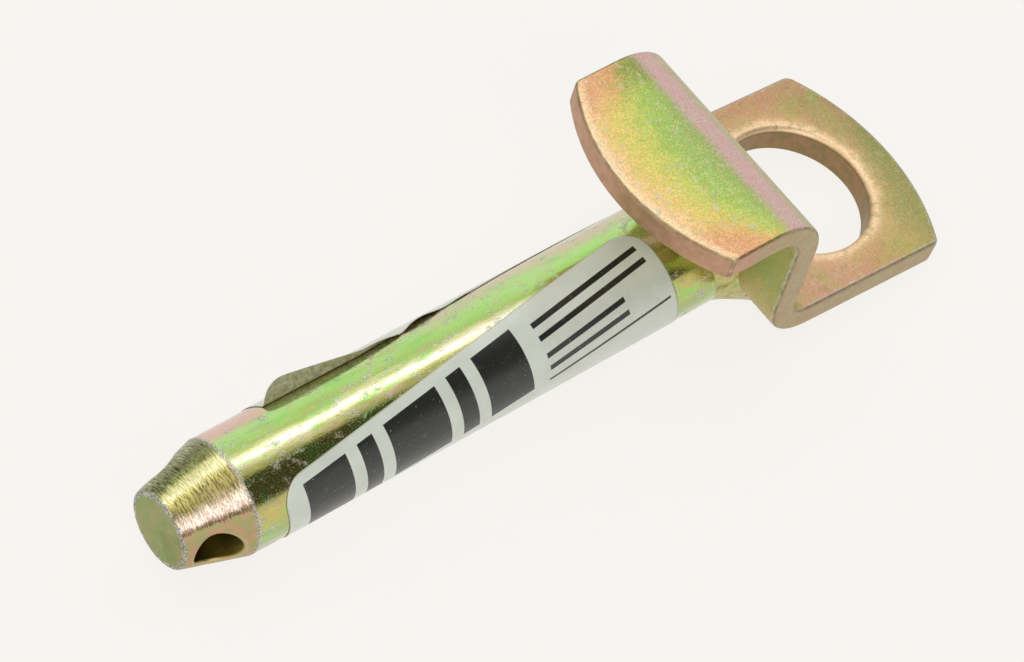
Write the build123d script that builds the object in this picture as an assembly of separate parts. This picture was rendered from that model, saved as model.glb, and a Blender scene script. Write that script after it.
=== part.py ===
from build123d import *

import os
from math import acos, atan2, cos, degrees, hypot, pi, radians, sin, sqrt, tan

# Top link pin: a turned pin welded to a folded plate handle, with a label stuck round its shank.
#
# It is modelled with the shank's axis along X and the handle's lip straight above it. The origin is on the
# shank's axis at the centre of the linch pin hole, and +X runs to the handle. At the end every piece is
# rolled about the shank's axis, so that the pin lies on its shank and on one corner of the ring tab.

# ---- Shank: round bar, turned to a taper at the nose (mm) ----
shank_diameter = 25.4
shank_length = 136.5  # nose face to the front of the web
nose_length = 14.7
nose_half_angle = 16.0  # degrees
nose_edge_break = 0.7
linch_hole_diameter = 9.5
linch_hole_from_nose = 7.2
linch_hole_break = 0.8

# ---- Handle: one flat bar, folded twice ----
plate_thickness = 6.35
plate_width = 51.3
upper_fold_inside_radius = 8.0
upper_fold_outside_radius = 16.5  # more than the plate on the inside: folding drew it thin
lower_fold_inside_radius = 6.0
lower_fold_outside_radius = 14.5
lip_clearance = 33.5  # shank axis up to the underside of the lip
lip_reach = 30.1  # front of the web to the middle of the lip's edge
lip_edge_radius = 45.0
web_lean = 2.4  # degrees that the web leans over the shank, going up
web_foot = 6.1  # shank axis down to the tab's underside, in line with the front of the web
tab_slope = 5.4  # degrees that the ring tab falls, going back
tab_reach = 57.4  # front of the web to the middle of the tab's end, along the tab
tab_end_radius = 49.8
corner_radius = 2.5
plate_edge_break = 0.9
ring_hole_diameter = 33.0
ring_hole_from_web = 30.5  # measured along the tab
ring_hole_roll = 1.5  # roundness left by the punch on the upper side

# ---- Weld between shank and handle ----
weld_shank_leg = 7.9  # reach along the shank, at the top
weld_plate_leg = 6.0  # reach outwards over the web, at the top
weld_root_depth = 0.15  # how far the run starts under the shank's surface
weld_shank_tilt = 13.0  # degrees that the run's edge on the shank leans back, going down
weld_plate_tilt = 22.0  # the same for its edge on the plate, which follows the lower fold
weld_foot_reach = 8.5  # reach back under the lower fold, from the front of the web
weld_foot_lift = 0.6  # height over the shank's underside at which the run stops

# ---- Label: thin film, stuck on askew, with one long edge come loose ----
label_length = 99.0
label_height = 67.5  # the side that goes round the shank
label_thickness = 0.15
label_corner_radius = 6.0
label_skew = 7.75  # degrees
label_from_nose = 20.7
label_start_angle = 130.8  # where the stuck long edge begins, from +Y towards +Z
glue_gap = 0.03
crease_angle = 408.0  # where the loose edge leaves the shank at its nose end, counted the same way
crease_length = 1.4
crease_bend = 98.0  # degrees that the loose edge is bent back there
crease_run = 33.0  # length over which that bend dies out
ripple_angle = 391.0  # where the rippled part of the loose edge leaves the shank
ripple_pitch = 14.0
ripple_bend = 7.0  # degrees
loose_run = 55.0  # from the loose edge's nose end to where it is stuck again
fade_length = 8.0
strip_start_angle = 330.0  # the label is a plain sheet round the shank up to here

shank_radius = shank_diameter / 2
nose_face_x = -linch_hole_from_nose
taper_end_x = nose_face_x + nose_length
web_x = nose_face_x + shank_length
web_tilt = radians(web_lean)
tab_tilt = radians(tab_slope)
label_radius = shank_radius + glue_gap
label_tilt = radians(label_skew)
label_corner_x = nose_face_x + label_from_nose
loose_edge_x = label_corner_x + label_height * sin(label_tilt)

# Frames of the handle's flat ends, on the plate's middle plane: X runs out to the arched edge, Z is square
# to the flat. Both are measured from the front of the web, where it meets the shank's axis.
lip_frame = Plane(
    origin=(web_x, 0, lip_clearance + plate_thickness / 2),
    x_dir=(-1, 0, 0),
    z_dir=(0, 0, 1),
)
tab_frame = Plane(
    origin=(
        web_x + plate_thickness / 2 * sin(tab_tilt),
        0,
        plate_thickness / 2 * cos(tab_tilt) - web_foot,
    ),
    x_dir=(cos(tab_tilt), 0, -sin(tab_tilt)),
    z_dir=(sin(tab_tilt), 0, cos(tab_tilt)),
)


def prism_across(*corners):
    """Straight-sided solid across the whole width, from its corners in the XZ plane."""
    return extrude(Plane.XZ * make_face(Polyline(*corners, close=True)), plate_width, both=True)


def past_web_front():
    """The space behind the plane of the web's front face."""
    reach = shank_diameter
    shift = reach * tan(web_tilt)
    return prism_across(
        (web_x - shift, reach),
        (web_x + shift, -reach),
        (web_x + reach, -reach),
        (web_x + reach, reach),
    )


def make_pin_shank():
    """Round bar with a tapered nose, a cross hole near its end and a back end that lies flat on the web."""
    nose_radius = shank_radius - nose_length * tan(radians(nose_half_angle))
    back_end_x = web_x + shank_radius
    outline = Polyline(
        (nose_face_x, 0),
        (nose_face_x, nose_radius),
        (taper_end_x, shank_radius),
        (back_end_x, shank_radius),
        (back_end_x, 0),
        close=True,
    )
    bar = revolve(Plane.XZ * make_face(outline), Axis.X)
    nose_edge = bar.edges().filter_by(GeomType.CIRCLE).sort_by(Axis.X)[0]
    bar = fillet(nose_edge, nose_edge_break)
    bar -= Rot(X=90) * Cylinder(linch_hole_diameter / 2, 2 * shank_diameter)
    rims = bar.edges().filter_by(GeomType.BSPLINE)
    return fillet(rims, linch_hole_break) - past_web_front()


def arched_end_trim(frame, apex, radius):
    """What lies outside a flat end whose edge is an arch, with its middle at apex along the frame's X."""
    rise = radius - sqrt(radius**2 - (plate_width / 2) ** 2)
    block = Pos(apex, 0, 0) * Box(3 * rise, 2 * plate_width, 3 * plate_thickness)
    arch = Pos(apex - radius, 0, 0) * Cylinder(radius, 4 * plate_thickness)
    return frame.location * (block - arch)


def is_through_thickness(edge):
    """Whether an edge runs straight from one skin of the plate to the other."""
    direction = edge.tangent_at(0)
    square_to_flat = max(abs(direction.dot(frame.z_dir)) for frame in (lip_frame, tab_frame)) > 0.99
    return square_to_flat and abs(edge.length - plate_thickness) < 0.01


def upper_fold_corner(depth):
    """Corner in the XZ plane of the web's and the lip's faces that lie this deep in the plate."""
    height = lip_clearance + depth
    return web_x + depth / cos(web_tilt) - height * tan(web_tilt), height


def lower_fold_corner(depth):
    """Corner in the XZ plane of the web's and the tab's faces that lie this deep in the plate."""
    back = depth / cos(web_tilt)
    height = depth / cos(tab_tilt) - web_foot - back * tan(tab_tilt)
    height /= 1 - tan(web_tilt) * tan(tab_tilt)
    return web_x + back - height * tan(web_tilt), height


def lip_end_corner(depth):
    """Corner in the XZ plane of the bar's end on the lip, this deep in the plate."""
    corner = lip_frame.from_local_coords((lip_reach + plate_thickness / 2, 0, depth - plate_thickness / 2))
    return corner.X, corner.Z


def tab_end_corner(depth):
    """Corner in the XZ plane of the bar's end on the tab, this deep in the plate."""
    corner = tab_frame.from_local_coords((tab_reach + plate_thickness / 2, 0, depth - plate_thickness / 2))
    return corner.X, corner.Z


def folded_outline(depth, upper_radius, lower_radius):
    """The face of the plate that lies this deep, as a line in the XZ plane from the lip's end to the tab's."""
    return FilletPolyline(
        lip_end_corner(depth),
        upper_fold_corner(depth),
        lower_fold_corner(depth),
        tab_end_corner(depth),
        radius=(upper_radius, lower_radius),
    )


def make_handle_plate():
    """Flat bar folded into lip, web and ring tab, with arched ends and a punched ring hole."""
    front = folded_outline(0, upper_fold_inside_radius, lower_fold_outside_radius)
    back = folded_outline(plate_thickness, upper_fold_outside_radius, lower_fold_inside_radius)
    ends = Line(front @ 0, back @ 0) + Line(front @ 1, back @ 1)
    section = Plane.XZ * make_face(front + back + ends)
    plate = extrude(section, plate_width / 2, both=True)
    plate -= arched_end_trim(lip_frame, lip_reach, lip_edge_radius)
    plate -= arched_end_trim(tab_frame, tab_reach, tab_end_radius)
    plate = fillet(plate.edges().filter_by(is_through_thickness), corner_radius)
    bend_lines = plate.edges().filter_by(Axis.Y)
    rim = [e for e in plate.edges() if e not in bend_lines and not is_through_thickness(e)]
    plate = fillet(rim, plate_edge_break)
    plate -= tab_frame.location * Pos(ring_hole_from_web, 0, 0) * Cylinder(ring_hole_diameter / 2, plate_width)
    hole_edges = plate.edges().filter_by(is_ring_hole_edge)
    return fillet(hole_edges.sort_by(Axis.Z)[-1], ring_hole_roll)


def is_ring_hole_edge(edge):
    """Whether an edge is one of the ring hole's circles."""
    if edge.geom_type != GeomType.CIRCLE or abs(edge.radius - ring_hole_diameter / 2) > 0.001:
        return False
    return abs(edge.normal().dot(tab_frame.z_dir)) > 0.99


def behind_plate():
    """The space behind the web and over the tab, from the plate's middle line on."""
    half = plate_thickness / 2
    return prism_across(
        upper_fold_corner(half),
        lower_fold_corner(half),
        tab_end_corner(half),
        (tab_end_corner(half)[0], upper_fold_corner(half)[1]),
    )


def under_foot():
    """The space under the weld's foot, which climbs from the shank's underside to the tab."""
    tab_underside = -web_foot - weld_foot_reach * tan(tab_tilt)
    low = weld_foot_lift - shank_radius
    rise = (tab_underside - low) / weld_foot_reach
    reach = tab_reach
    return prism_across(
        (web_x - reach, low),
        (web_x, low),
        (web_x + reach, low + rise * reach),
        (web_x + reach, -2 * reach),
        (web_x - reach, -2 * reach),
    )


def make_weld_fillet(pin_shank, handle_plate):
    """Concave weld run round the shank's end, leaning back to follow the lower fold of the plate."""
    root = shank_radius - weld_root_depth
    toe = shank_radius + weld_plate_leg
    # Each section looks round when seen along the shank, and lies in a plane that leans back.
    sections = []
    for step in range(5):
        turn = radians(60) * step / 4
        forward = sin(turn) / sin(radians(60))
        outward = (1 - cos(turn)) / (1 - cos(radians(60)))
        radius = root + (toe - root) * outward
        tilt = radians(weld_shank_tilt + (weld_plate_tilt - weld_shank_tilt) * outward)
        top_x = web_x - weld_shank_leg + (weld_shank_leg - toe * tan(web_tilt)) * forward
        x = top_x + radius * tan(tilt)
        leaning = Plane(origin=(x, 0, 0), x_dir=(0, 1, 0), z_dir=(cos(tilt), 0, sin(tilt)))
        sections.append(leaning * Ellipse(radius, radius / cos(tilt)))
    core_length = plate_thickness + weld_foot_reach
    core = Pos(web_x + core_length / 2, 0, 0) * Rot(Y=90) * Cylinder(root, core_length)
    weld = loft(sections) + core - pin_shank - handle_plate - behind_plate() - under_foot()
    return weld.solids().sort_by(SortBy.VOLUME)[-1]


def smooth_step(start, length, value):
    """0 up to start, 1 from start + length on, and a smooth climb between them."""
    t = min(max((value - start) / length, 0.0), 1.0)
    return t * t * (3 - 2 * t)


def leave_arc(x):
    """Distance round the shank at which the label's loose edge leaves it."""
    slack = smooth_step(crease_run - fade_length / 2, fade_length, x - loose_edge_x)
    return label_radius * radians(crease_angle + slack * (ripple_angle - crease_angle))


def leave_bend(x):
    """Angle by which the label's loose edge is bent away from the shank."""
    run = x - loose_edge_x
    peeled = radians(crease_bend) * cos(pi / 2 * min(max(run / crease_run, 0.0), 1.0)) ** 0.6
    ripple = radians(ripple_bend) * cos(2 * pi * (run - 1.2 * crease_run) / ripple_pitch)
    return peeled + ripple * smooth_step(crease_run - fade_length, fade_length, run)


class Stretch:
    """One arc of the film's glued side, in the plane square to the shank at x."""

    def __init__(self, start, heading, curvature, length):
        self.start = start
        self.heading = heading
        self.curvature = curvature
        self.length = length

    def at(self, part, outward=0.0):
        """Point at this part of the stretch's length, moved outward from the shank."""
        turn = self.curvature * self.length * part
        chord = self.length * part * (sin(turn / 2) / (turn / 2) if abs(turn) > 1e-6 else 1.0)
        way = self.heading + turn / 2
        last = self.heading + turn
        across = chord * cos(way) + outward * sin(last)
        upward = chord * sin(way) - outward * cos(last)
        return self.start + Vector(0, across, upward)

    def last_heading(self):
        """Direction in which the stretch ends."""
        return self.heading + self.curvature * self.length

    def edge(self, outward=0.0):
        """The stretch as an edge, moved outward from the shank."""
        if abs(self.curvature * self.length) < 0.01:
            return Line(self.at(0, outward), self.at(1, outward))
        return ThreePointArc(self.at(0, outward), self.at(0.5, outward), self.at(1, outward))


def film_stretches(x):
    """The film's last stretches at x: stuck down, then creased, then loose."""
    first = label_radius * radians(strip_start_angle)
    last = label_radius * radians(label_start_angle) - (x - label_corner_x) * tan(label_tilt)
    last += label_height / cos(label_tilt)
    leave = min(leave_arc(x), last - 1.5 * crease_length)
    grip = smooth_step(loose_run - fade_length, fade_length, x - loose_edge_x)
    hug = grip / label_radius
    crease = hug - leave_bend(x) * (1 - grip) / crease_length
    angle = radians(strip_start_angle)
    start = Vector(x, label_radius * cos(angle), label_radius * sin(angle))
    stuck = Stretch(start, angle + pi / 2, 1 / label_radius, leave - first)
    creased = Stretch(stuck.at(1), stuck.last_heading(), crease, crease_length)
    loose = Stretch(creased.at(1), creased.last_heading(), hug, last - leave - crease_length)
    return [stuck, creased, loose]


def film_section(x):
    """Section of the film at x, square to the shank."""
    stretches = film_stretches(x)
    glued = [stretch.edge() for stretch in stretches]
    printed = [stretch.edge(label_thickness) for stretch in stretches]
    ends = [Line(glued[0] @ 0, printed[0] @ 0), Line(glued[-1] @ 1, printed[-1] @ 1)]
    return make_face(glued + printed + ends)


def film_stations():
    """Where the loose strip is sectioned along the shank: closely by its loose edge, widely past it."""
    x = label_corner_x - crease_length
    last = label_corner_x + label_length + label_height * sin(label_tilt)
    stations = []
    while x < last:
        stations.append(x)
        x += ripple_pitch / (6 if x < loose_edge_x + loose_run else 2)
    return [*stations, last]


def make_stuck_sheet():
    """The part of the film that lies flat on the shank, from its slanted long edge round to the strip."""
    stations = film_stations()
    length = stations[-1] - stations[0]
    tube = Cylinder(label_radius + label_thickness, length) - Cylinder(label_radius, 2 * length)
    tube = Pos((stations[0] + stations[-1]) / 2, 0, 0) * Rot(Y=90) * tube
    reach = 3 * shank_radius
    wedges = []
    for step in range(9):
        x = stations[0] + length * step / 8
        first = label_start_angle - degrees((x - label_corner_x) * tan(label_tilt) / label_radius)
        last = strip_start_angle - 360
        corners = [(0, 0)]
        for angle in (last, (first + last) / 2, first):
            corners.append((reach * cos(radians(angle)), reach * sin(radians(angle))))
        place = Plane(origin=(x, 0, 0), x_dir=(0, 1, 0), z_dir=(1, 0, 0))
        wedges.append(place * make_face(Polyline(*corners, close=True)))
    return tube - loft(wedges)


def label_end_trim(x_at_start, first_arc, outward):
    """What lies beyond one short end of the label, as a band that climbs round the shank."""
    band = label_height / 2
    sections = []
    for step in range(-1, 14):
        arc = first_arc + label_height * step / 12
        angle = label_start_angle + degrees(arc / label_radius)
        x = x_at_start + arc * tan(label_tilt) + outward * band / 2
        place = Rot(X=angle) * Pos(x, 1.4 * shank_radius, 0)
        sections.append(place * Rectangle(band, 1.6 * shank_radius))
    return loft(sections)


def corner_trim(frame, x_way, y_way, height):
    """What lies outside a round corner of the label, from the frame of its centre on the film."""
    block = Pos(x_way * label_corner_radius, y_way * height) * Rectangle(2 * label_corner_radius, 2 * height)
    outside = block - Ellipse(label_corner_radius, height)
    return extrude(frame * outside, label_corner_radius / 3, both=True)


def stuck_corner_trim(x_way, y_way):
    """Corner trim for a corner that lies flat on the shank."""
    along = label_length - label_corner_radius if x_way > 0 else label_corner_radius
    across = label_height - label_corner_radius if y_way > 0 else label_corner_radius
    x = label_corner_x + along * cos(label_tilt) + across * sin(label_tilt)
    arc = label_radius * radians(label_start_angle) - along * sin(label_tilt) + across * cos(label_tilt)
    angle = arc / label_radius
    frame = Plane(
        origin=(x, label_radius * cos(angle), label_radius * sin(angle)),
        x_dir=(cos(label_tilt), sin(label_tilt) * sin(angle), -sin(label_tilt) * cos(angle)),
        z_dir=(0, cos(angle), sin(angle)),
    )
    # The film curves away from the flat frame, which shortens the corner across the label.
    return corner_trim(frame, x_way, y_way, label_radius * sin(label_corner_radius / label_radius))


def flap_corner_trim():
    """Corner trim for the corner that is bent back at the nose end."""
    x = loose_edge_x + label_corner_radius
    loose = film_stretches(x)[-1]
    edge_way = loose.at(1) - film_stretches(x - crease_length)[-1].at(1)
    flap_way = Vector(0, cos(loose.last_heading()), sin(loose.last_heading()))
    centre = loose.at(1) - flap_way * label_corner_radius
    frame = Plane(origin=centre, x_dir=edge_way, z_dir=edge_way.cross(flap_way))
    return corner_trim(frame, -1, 1, label_corner_radius)


def make_label_wrap():
    """Thin film round the shank, stuck down but for one long edge."""
    film = make_stuck_sheet() + loft([film_section(x) for x in film_stations()], ruled=True)
    film -= label_end_trim(label_corner_x, 0, -1)
    far_corner_x = label_corner_x + label_length / cos(label_tilt)
    film -= label_end_trim(far_corner_x, -label_length * sin(label_tilt), 1)
    for x_way, y_way in ((-1, -1), (1, -1), (1, 1)):
        film -= stuck_corner_trim(x_way, y_way)
    film -= flap_corner_trim()
    return film.solids().sort_by(SortBy.VOLUME)[-1]


def rest_roll():
    """Roll about the shank's axis that brings the ring tab down to the floor the shank lies on."""
    # The tab touches down at the side of its underside, where the arch begins.
    rise = tab_end_radius - sqrt(tab_end_radius**2 - (plate_width / 2) ** 2)
    corner = tab_frame.from_local_coords((tab_reach - rise, 0, -plate_thickness / 2))
    floor = label_radius + label_thickness
    reach = hypot(plate_width / 2, corner.Z)
    return degrees(atan2(plate_width / 2, -corner.Z) - acos(floor / reach))


pin_shank = make_pin_shank()
handle_plate = make_handle_plate()
pieces = {
    "pin_shank": pin_shank,
    "handle_plate": handle_plate,
    "weld_fillet": make_weld_fillet(pin_shank, handle_plate),
    "label_wrap": make_label_wrap(),
}
os.makedirs("parts", exist_ok=True)
for name, piece in pieces.items():
    export_step(Rot(X=rest_roll()) * piece, f"parts/{name}.step")
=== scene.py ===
"""Dressed scene of a top link pin: turned shank, folded handle, weld run and a label that is peeling off."""

import logging
import math
from abc import ABC, abstractmethod
from dataclasses import dataclass
from enum import Enum
from functools import reduce
from typing import Callable, Optional, Sequence, Union

import bmesh
import bpy
from mathutils import Matrix, Vector

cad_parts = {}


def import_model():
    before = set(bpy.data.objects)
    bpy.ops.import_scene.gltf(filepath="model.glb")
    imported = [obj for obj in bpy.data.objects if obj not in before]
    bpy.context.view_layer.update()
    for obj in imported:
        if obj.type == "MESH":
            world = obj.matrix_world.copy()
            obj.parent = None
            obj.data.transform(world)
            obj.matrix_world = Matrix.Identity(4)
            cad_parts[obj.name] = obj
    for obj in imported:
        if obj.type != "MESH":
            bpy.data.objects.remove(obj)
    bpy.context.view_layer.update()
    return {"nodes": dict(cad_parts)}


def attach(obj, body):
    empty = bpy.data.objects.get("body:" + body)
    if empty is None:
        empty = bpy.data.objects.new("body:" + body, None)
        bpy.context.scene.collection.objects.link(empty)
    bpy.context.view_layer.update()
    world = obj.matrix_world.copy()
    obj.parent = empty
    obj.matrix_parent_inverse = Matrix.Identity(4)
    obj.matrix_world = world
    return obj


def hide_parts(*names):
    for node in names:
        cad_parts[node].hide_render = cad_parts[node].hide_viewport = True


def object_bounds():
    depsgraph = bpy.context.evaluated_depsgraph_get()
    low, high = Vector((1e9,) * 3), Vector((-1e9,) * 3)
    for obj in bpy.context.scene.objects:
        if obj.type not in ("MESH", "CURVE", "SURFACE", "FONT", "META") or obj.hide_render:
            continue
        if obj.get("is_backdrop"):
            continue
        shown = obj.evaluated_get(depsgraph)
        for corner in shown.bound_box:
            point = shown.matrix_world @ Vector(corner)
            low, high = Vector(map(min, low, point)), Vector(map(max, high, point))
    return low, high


LOG = logging.getLogger("top_link_pin")
MM = 0.001
FAR = 99.0  # millimetres, farther than any edge of the handle
FILM_UNIT = 100.0  # millimetres for one unit of the label's UV map

Number = Union[float, int, "Field"]
Colour = tuple[float, float, float, float]
Stops = Sequence[tuple[float, Colour]]
Socket = bpy.types.NodeSocket
Material = bpy.types.Material


def srgb(red: int, green: int, blue: int) -> Colour:
    """Turns 8-bit display values into a linear colour.

    Args:
        red: Red from 0 to 255.
        green: Green from 0 to 255.
        blue: Blue from 0 to 255.

    Returns:
        The linear colour with an alpha of 1.
    """
    values = []
    for value in (red, green, blue):
        part = value / 255.0
        values.append(part / 12.92 if part <= 0.04045 else ((part + 0.055) / 1.055) ** 2.4)
    return (values[0], values[1], values[2], 1.0)


def shades(*rows: tuple[float, int, int, int]) -> Stops:
    """Stops of a colour ramp, each from a place and its red, green and blue as displayed."""
    return [(at, srgb(red, green, blue)) for at, red, green, blue in rows]


def show(thing: bpy.types.Object) -> None:
    """Puts an object in the scene."""
    bpy.context.scene.collection.objects.link(thing)


def operator(operation: str, reflected: bool = False) -> Callable[["Field", Number], "Field"]:
    """Makes a method for one of Python's operators.

    Args:
        operation: The Math node's operation.
        reflected: Whether the field is the second value.

    Returns:
        The method.
    """

    def method(this: "Field", other: Number) -> "Field":
        """Adds one Math node with this field and another value."""
        values = (other, this) if reflected else (this, other)
        return this.graph.math(operation, *values)

    return method


class Field:
    """A number that varies over a piece: a socket with Python's operators."""

    def __init__(self, graph: "Graph", socket: Socket) -> None:
        """Holds the socket and the graph that it is in."""
        self.graph = graph
        self.socket = socket

    def __abs__(self) -> "Field":
        """Absolute value."""
        return self.graph.math("ABSOLUTE", self)

    __add__ = __radd__ = operator("ADD")
    __sub__, __rsub__ = operator("SUBTRACT"), operator("SUBTRACT", reflected=True)
    __mul__ = __rmul__ = operator("MULTIPLY")
    __truediv__, __rtruediv__ = operator("DIVIDE"), operator("DIVIDE", reflected=True)
    __pow__, __rpow__ = operator("POWER"), operator("POWER", reflected=True)


class Graph:
    """A node tree that is written as expressions."""

    def __init__(self, tree: bpy.types.NodeTree) -> None:
        """Takes an empty tree."""
        self.tree = tree

    def node(
        self, kind: str, settings: Optional[dict] = None, inputs: Optional[dict] = None
    ) -> bpy.types.Node:
        """Adds a node, sets its settings first and then its sockets.

        Args:
            kind: The node's type name.
            settings: Attributes of the node. "stops" fills a colour ramp.
            inputs: Values or links by the socket's name, identifier or index.

        Returns:
            The new node.
        """
        node = self.tree.nodes.new(kind)
        for name, value in (settings or {}).items():
            if name == "stops":
                self._fill_ramp(node, value)
            else:
                setattr(node, name, value)
        for key, value in (inputs or {}).items():
            self.feed(self._socket(node, key), value)
        return node

    @staticmethod
    def _fill_ramp(node: bpy.types.Node, stops: Stops) -> None:
        """Gives a colour ramp its stops.

        Args:
            node: The ramp's node.
            stops: Places from 0 to 1 and their colours.
        """
        elements = node.color_ramp.elements
        while len(elements) > 1:
            elements.remove(elements[-1])
        elements[0].position = stops[0][0]
        elements[0].color = stops[0][1]
        for position, colour in stops[1:]:
            elements.new(position).color = colour

    @staticmethod
    def _socket(node: bpy.types.Node, key: Union[str, int]) -> Socket:
        """Finds an input.

        Args:
            node: The node that has it.
            key: Its index, identifier or name.

        Returns:
            The input.
        """
        if isinstance(key, int):
            return node.inputs[key]
        for socket in node.inputs:
            if socket.identifier == key:
                return socket
        return node.inputs[key]

    def feed(self, socket: Socket, value: object) -> None:
        """Links a field or socket, or sets a plain value.

        Args:
            socket: The input.
            value: What it gets.
        """
        if isinstance(value, Field):
            self.tree.links.new(value.socket, socket)
        elif isinstance(value, Socket):
            self.tree.links.new(value, socket)
        else:
            socket.default_value = value

    def math(self, operation: str, *values: Number) -> Field:
        """One Math node.

        Args:
            operation: The Math node's operation.
            values: Its one to three values.

        Returns:
            The result.
        """
        node = self.node("ShaderNodeMath", {"operation": operation}, dict(enumerate(values)))
        return Field(self, node.outputs[0])

    def sin(self, value: Number) -> Field:
        """Sine of an angle in radians."""
        return self.math("SINE", value)

    def cos(self, value: Number) -> Field:
        """Cosine of an angle in radians."""
        return self.math("COSINE", value)

    def least(self, first: Number, second: Number) -> Field:
        """The smaller of two values."""
        return self.math("MINIMUM", first, second)

    def most(self, first: Number, second: Number) -> Field:
        """The larger of two values."""
        return self.math("MAXIMUM", first, second)

    def part(self, value: Number) -> Field:
        """A value kept between 0 and 1."""
        return self.least(self.most(value, 0.0), 1.0)

    def ease(self, value: Number, start: float, stop: float) -> Field:
        """A smooth climb from 0 at start to 1 at stop, which may be the lower one.

        Args:
            value: What is looked up.
            start: Where the climb begins.
            stop: Where it ends.

        Returns:
            The climb, level before start and after stop.
        """
        settings = {"interpolation_type": "SMOOTHSTEP", "clamp": True}
        inputs = {0: value, 1: start, 2: stop, 3: 0.0, 4: 1.0}
        if start > stop:
            inputs = {0: value, 1: stop, 2: start, 3: 1.0, 4: 0.0}
        return Field(self, self.node("ShaderNodeMapRange", settings, inputs).outputs[0])

    def axes(self, vector: Socket) -> tuple[Field, Field, Field]:
        """The three parts of a vector."""
        node = self.node("ShaderNodeSeparateXYZ", inputs={0: vector})
        return Field(self, node.outputs[0]), Field(self, node.outputs[1]), Field(self, node.outputs[2])

    def vector(self, x: Number, y: Number, z: Number = 0.0) -> Socket:
        """A vector from three parts."""
        return self.node("ShaderNodeCombineXYZ", inputs={0: x, 1: y, 2: z}).outputs[0]


class Shading(Graph):
    """The node tree of a material or a world."""

    @classmethod
    def of(cls, owner: Union[Material, bpy.types.World]) -> "Shading":
        """Starts the owner's tree anew.

        Args:
            owner: The material or world.

        Returns:
            Its empty tree.
        """
        owner.use_nodes = True
        owner.node_tree.nodes.clear()
        return cls(owner.node_tree)

    def noise(self, place: Socket, scale: float, detail: float = 3.0, rough: float = 0.55) -> Field:
        """Cloud noise from 0 to 1 about 0.5.

        Args:
            place: Where it is read.
            scale: Clouds for each unit of place.
            detail: Octaves.
            rough: How strong the finer octaves are.

        Returns:
            The noise.
        """
        inputs = {"Vector": place, "Scale": scale, "Detail": detail, "Roughness": rough}
        node = self.node("ShaderNodeTexNoise", {"noise_dimensions": "3D"}, inputs)
        return Field(self, node.outputs[0])

    def ramp(self, value: Number, stops: Stops, low: float = 0.0, high: float = 1.0) -> Socket:
        """A colour for a value.

        Args:
            value: What is looked up.
            stops: Values and colours, from low to high.
            low: The value at the ramp's left end.
            high: The value at its right end.

        Returns:
            The colour's socket.
        """
        span = high - low
        placed = [((position - low) / span, colour) for position, colour in stops]
        return self.node("ShaderNodeValToRGB", {"stops": placed}, {0: (value - low) / span}).outputs[0]

    def mix(self, share: Number, first: object, second: object) -> Socket:
        """Blends two colours.

        Args:
            share: How much of the second is seen.
            first: Colour or socket under it.
            second: Colour or socket over it.

        Returns:
            The colour's socket.
        """
        settings = {"data_type": "RGBA", "clamp_factor": True}
        inputs = {"Factor_Float": share, "A_Color": first, "B_Color": second}
        node = self.node("ShaderNodeMix", settings, inputs)
        return next(out for out in node.outputs if out.identifier == "Result_Color")

    def coats(self, ground: object, *layers: tuple[Number, object]) -> Socket:
        """Lays colours one over another.

        Args:
            ground: Colour or socket under them all.
            layers: How much of each is seen, and its colour, from the lowest up.

        Returns:
            The colour's socket.
        """
        for share, colour in layers:
            ground = self.mix(share, ground, colour)
        return ground

    def bump(self, height: Field, strength: float, distance: float) -> Socket:
        """A normal raised by a height.

        Args:
            height: Height in units of distance.
            strength: Share of the effect.
            distance: Metres for a height of 1.

        Returns:
            The normal's socket.
        """
        inputs = {"Strength": strength, "Distance": distance, "Height": height}
        return self.node("ShaderNodeBump", inputs=inputs).outputs[0]


@dataclass(frozen=True)
class RestPose:
    """How the part is rolled about its shank so that it lies on the floor."""

    roll: float = 4.659  # degrees

    @property
    def angle(self) -> float:
        """The roll in radians."""
        return math.radians(self.roll)

    def upright(self, y: Field, z: Field) -> tuple[Field, Field]:
        """Turns a place on the part back to where the lip is straight above the shank.

        Args:
            y: Place along Y.
            z: Place along Z.

        Returns:
            The place across the handle and the place up its web.
        """
        turn, rise = math.cos(self.angle), math.sin(self.angle)
        return y * turn + z * rise, z * turn - y * rise


REST = RestPose()


class Finish(ABC):
    """What one material looks like."""

    name: str

    def material(self) -> Material:
        """Makes the material.

        Returns:
            The material, its surface shader fed and linked to the output.
        """
        material = bpy.data.materials.new(self.name)
        s = Shading.of(material)
        surface = s.node("ShaderNodeBsdfPrincipled")
        s.node("ShaderNodeOutputMaterial", inputs={"Surface": surface.outputs[0]})
        for name, value in self.looks(s).items():
            s.feed(surface.inputs[name], value)
        return material

    @abstractmethod
    def looks(self, s: Shading) -> dict[str, object]:
        """What the surface shader gets.

        Args:
            s: The material's tree.

        Returns:
            Values or links by the socket's name.
        """


@dataclass(frozen=True)
class Spot:
    """A place on a metal piece, in millimetres, with the lip straight above the shank."""

    s: Shading  # the material's tree
    x: Field  # along the shank
    y: Field  # across the handle
    z: Field  # up the web
    place: Socket  # all three

    @classmethod
    def of(cls, s: Shading) -> "Spot":
        """Reads the place from the piece's own coordinates.

        Args:
            s: The material's tree.

        Returns:
            The spot.
        """
        x, y, z = s.axes(s.node("ShaderNodeTexCoord").outputs["Object"])
        along = x / MM
        across, up = REST.upright(y / MM, z / MM)
        return cls(s, along, across, up, s.vector(along, across, up))


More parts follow.
